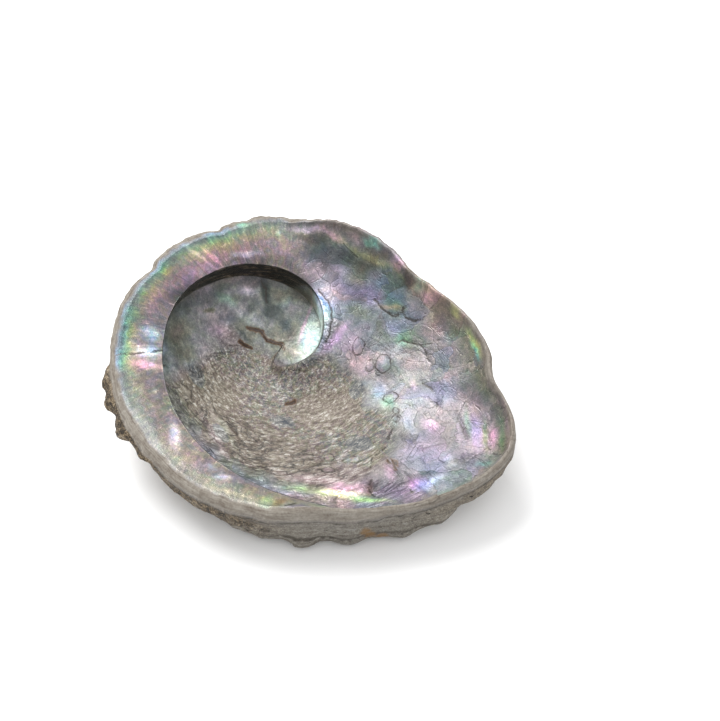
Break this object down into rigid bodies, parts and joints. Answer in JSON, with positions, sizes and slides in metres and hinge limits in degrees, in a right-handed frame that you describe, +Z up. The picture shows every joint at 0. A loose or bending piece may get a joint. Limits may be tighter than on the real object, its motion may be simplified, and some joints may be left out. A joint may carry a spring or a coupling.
{
  "type": "abalone shell",
  "caption": "Empty abalone shell lying on its domed back, with a nacre-lined hollow, a spiral inner ledge and a rough crusted outside.",
  "frame": {"origin": "middle of the shell's outline at the level of the surface it rests on", "axes": "+X along the shell's length towards the front of the animal, +Z up out of the hollow as the shell lies on its back"},
  "size_m": [0.1602, 0.129, 0.0492],
  "materials": {
    "shell": "satin"
  },
  "bodies": {
    "root": {"abalone_shell": "shell"}
  },
  "joints": []
}
